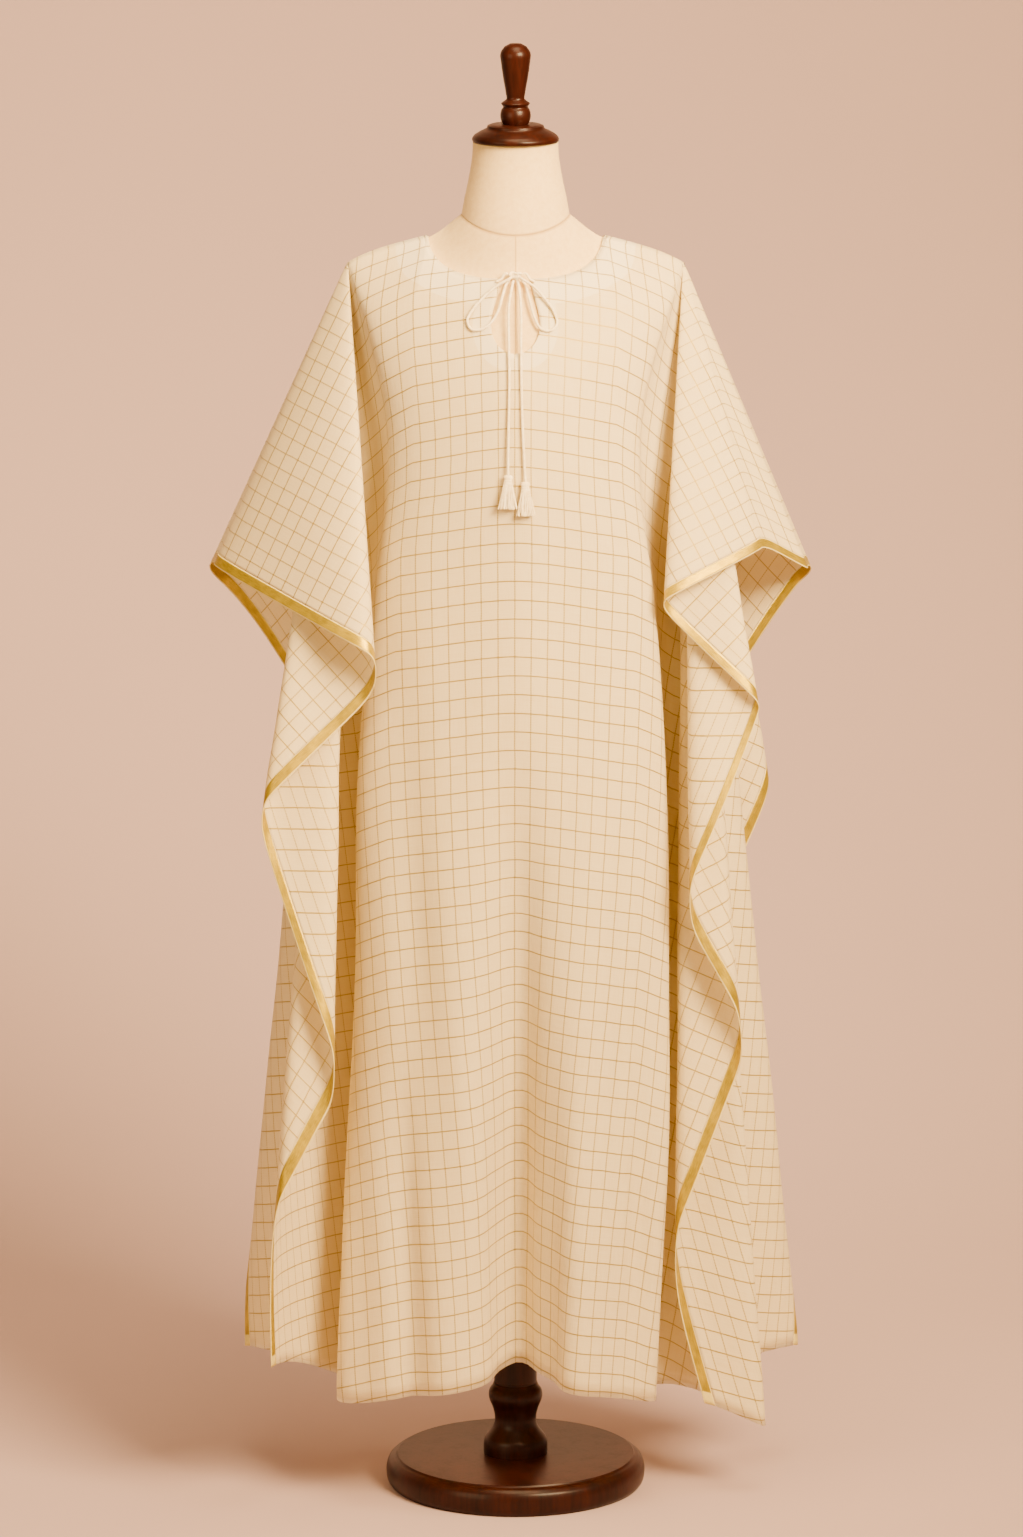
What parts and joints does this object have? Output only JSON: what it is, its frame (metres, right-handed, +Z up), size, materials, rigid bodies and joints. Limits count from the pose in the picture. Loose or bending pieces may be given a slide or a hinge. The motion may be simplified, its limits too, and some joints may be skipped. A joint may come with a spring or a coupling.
{
  "type": "kaftan on a dress form",
  "caption": "Wide checked cotton kaftan with gold edge bands, keyhole neck and bow tie, hanging on a limbless dress form with turned wooden cap, pole and round base",
  "frame": {"origin": "on the floor, at the centre of the round base disc's underside", "axes": "+Z up, the garment's front faces -Y, its left sleeve as worn is at +X"},
  "size_m": [0.7401, 0.3638, 1.7965],
  "materials": {
    "cotton": "thin cream cotton with fine gold check lines, matt",
    "gold_selvedge": "woven gold thread band, satin",
    "cotton_cord": "twisted cream cotton cord, matt",
    "linen": "plain linen cover, matt",
    "polished_wood": "dark red-brown stained wood, polished"
  },
  "bodies": {
    "root": {"front_panel": "cotton", "back_panel": "cotton", "front_neck_facing": "cotton", "back_neck_facing": "cotton", "front_border_left": "gold_selvedge", "front_border_right": "gold_selvedge", "back_border_left": "gold_selvedge", "back_border_right": "gold_selvedge", "tie_knot": "cotton_cord", "tie_stub_left": "cotton_cord", "tie_stub_right": "cotton_cord", "tie_loop_left": "cotton_cord", "tie_loop_right": "cotton_cord", "tie_end_left": "cotton_cord", "tie_end_right": "cotton_cord", "tassel_left": "cotton_cord", "tassel_right": "cotton_cord", "form_torso": "linen", "form_neck": "linen", "cap": "polished_wood", "finial": "polished_wood", "pole": "polished_wood", "collar": "polished_wood", "base_disc": "polished_wood"}
  },
  "joints": []
}
